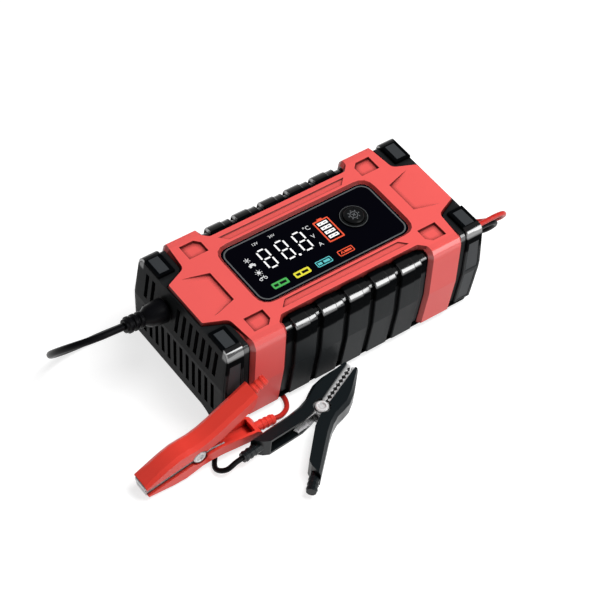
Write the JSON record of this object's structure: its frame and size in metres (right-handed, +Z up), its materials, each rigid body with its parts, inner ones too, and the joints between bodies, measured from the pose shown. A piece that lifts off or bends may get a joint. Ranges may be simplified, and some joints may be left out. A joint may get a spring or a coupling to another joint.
{
  "type": "car battery charger",
  "caption": "Automatic car battery charger: red and black case with display and button, louvred ends, mains lead with plug, and red and black spring clamps.",
  "frame": {"origin": "centre of the case's footprint, on the plane of the feet", "axes": "+X along the case's length towards the output wires, +Z up; the front long side faces -Y"},
  "size_m": [0.3092, 0.2015, 0.0727],
  "materials": {
    "red_shell": "satin moulded plastic",
    "black_shell": "fine-grained moulded plastic",
    "black_grip": "satin rubber",
    "display_gloss": "glossy black window",
    "circuit_board": "green solder mask",
    "component_black": "moulded black",
    "heat_sink_aluminium": "plain extruded aluminium",
    "black_cable": "satin flexible cable sheath",
    "red_cable": "satin flexible wire sheath",
    "pin_brass": "plated brass",
    "screw_steel": "zinc-plated",
    "clamp_steel": "bright plated steel",
    "red_clamp_grip": "satin moulded plastic",
    "black_clamp_grip": "satin moulded plastic"
  },
  "bodies": {
    "charger": {"top_cover": "red_shell", "left_end_cap": "black_shell", "right_end_cap": "black_shell", "base_shell": "black_shell", "button_bezel": "black_shell", "front_grip": "black_grip", "rear_grip": "black_grip", "mains_strain_relief": "black_grip", "output_strain_relief": "black_grip", "front_left_bumper": "black_grip", "rear_left_bumper": "black_grip", "front_right_bumper": "black_grip", "rear_right_bumper": "black_grip", "front_left_foot": "black_grip", "rear_left_foot": "black_grip", "front_right_foot": "black_grip", "rear_right_foot": "black_grip", "display_window": "display_gloss", "lcd_panel": "display_gloss", "display_board": "circuit_board", "main_board": "circuit_board", "button_switch": "component_black", "transformer": "component_black", "filter_choke": "component_black", "input_capacitor": "component_black", "output_capacitor": "component_black", "fan_frame": "component_black", "primary_heat_sink": "heat_sink_aluminium", "secondary_heat_sink": "heat_sink_aluminium", "mains_lead": "black_cable", "mains_hank": "black_cable", "hank_tie": "black_cable", "output_wire_black": "black_cable", "mains_plug": "black_cable", "output_wire_red": "red_cable", "lower_plug_pin": "pin_brass", "upper_plug_pin": "pin_brass", "front_left_screw": "screw_steel", "rear_left_screw": "screw_steel", "front_right_screw": "screw_steel", "rear_right_screw": "screw_steel", "red_clamp_fixed_handle": "red_clamp_grip", "red_clamp_fixed_jaw": "clamp_steel", "red_clamp_rivet": "clamp_steel", "red_clamp_spring": "clamp_steel", "black_clamp_fixed_handle": "black_clamp_grip", "black_clamp_fixed_jaw": "clamp_steel", "black_clamp_rivet": "clamp_steel", "black_clamp_spring": "clamp_steel"},
    "mode_button": {"mode_button": "black_grip"},
    "fan_rotor": {"fan_rotor": "component_black"},
    "red_clamp_upper": {"red_clamp_moving_handle": "red_clamp_grip", "red_clamp_moving_jaw": "clamp_steel"},
    "black_clamp_swing": {"black_clamp_moving_handle": "black_clamp_grip", "black_clamp_moving_jaw": "clamp_steel"}
  },
  "joints": [
    {"name": "button_press", "type": "slide", "parent": "charger", "child": "mode_button", "axis": [0, 0, -1], "range_m": [0, 0.0008], "stiffness_N_per_m": 600},
    {"name": "fan_spin", "type": "hinge", "parent": "charger", "child": "fan_rotor", "pos_m": [0.0896, 0.01, 0.036], "axis": [1, 0, 0], "continuous": true},
    {"name": "red_clamp_hinge", "type": "hinge", "parent": "charger", "child": "red_clamp_upper", "pos_m": [-0.126, -0.0579, 0.0155], "axis": [0, 1, 0], "range_deg": [0, 25], "stiffness_Nm_per_rad": 0.25, "springref_deg": -20.05, "deforming": ["red_clamp_spring"]},
    {"name": "black_clamp_hinge", "type": "hinge", "parent": "charger", "child": "black_clamp_swing", "pos_m": [-0.0412, -0.0716, 0.00691], "axis": [0, 0, -1], "range_deg": [0, 25], "stiffness_Nm_per_rad": 0.25, "springref_deg": -20.05, "deforming": ["black_clamp_spring"]}
  ]
}
